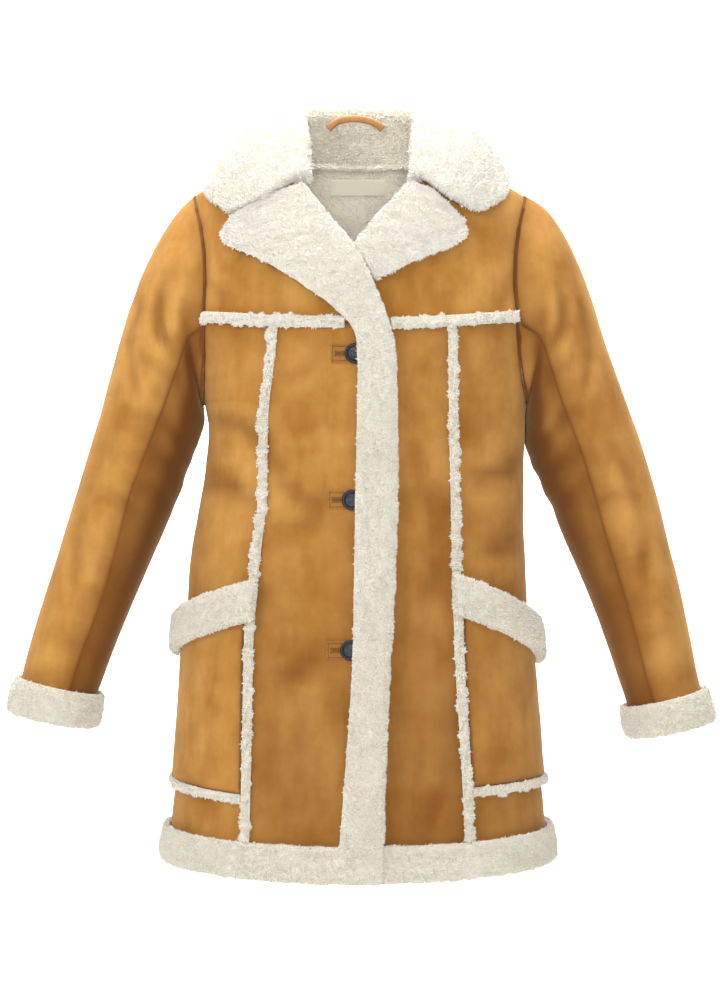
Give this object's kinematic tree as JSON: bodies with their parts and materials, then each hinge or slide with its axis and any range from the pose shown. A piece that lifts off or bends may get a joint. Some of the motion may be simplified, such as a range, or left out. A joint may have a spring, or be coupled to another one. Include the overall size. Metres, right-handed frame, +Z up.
{
  "type": "shearling coat",
  "caption": "Hip-length suede coat lined with wool, filled out as worn, with a notched wool collar, wool bands on its front edge, hem and cuffs, slanted pockets and round buttons.",
  "frame": {"origin": "the middle of the neck at the height where the wearer's shoulders carry the coat", "axes": "+Z up, the coat faces -Y, and +X is towards the wearer's left"},
  "size_m": [0.8031, 0.317, 0.8735],
  "materials": {
    "suede": "napped tan suede",
    "wool": "cream sheared wool",
    "buttons": "dark satin horn",
    "loop": "smooth tan leather",
    "label": "plain cream cloth"
  },
  "bodies": {
    "root": {"yoke_front_right": "suede", "centre_front_right": "suede", "side_front_right": "suede", "back_right": "suede", "sleeve_upper_right": "suede", "sleeve_under_right": "suede", "cuff_right": "wool", "yoke_strip_right": "wool", "seam_strip_upper_right": "wool", "seam_strip_lower_right": "wool", "pocket_right": "suede", "pocket_cuff_right": "wool", "pocket_strip_right": "wool", "yoke_front_left": "suede", "centre_front_left": "suede", "side_front_left": "suede", "back_left": "suede", "sleeve_upper_left": "suede", "sleeve_under_left": "suede", "cuff_left": "wool", "yoke_strip_left": "wool", "seam_strip_upper_left": "wool", "seam_strip_lower_left": "wool", "pocket_left": "suede", "pocket_cuff_left": "wool", "pocket_strip_left": "wool", "collar": "wool", "lapel_and_band_right": "wool", "lapel_left": "wool", "hem_band_front_right": "wool", "hem_band_front_left": "wool", "hem_band_back": "wool", "button_1": "buttons", "button_2": "buttons", "button_3": "buttons", "buttonhole_1": "suede", "buttonhole_2": "suede", "buttonhole_3": "suede", "hanger_loop": "loop", "neck_label": "label"}
  },
  "joints": []
}
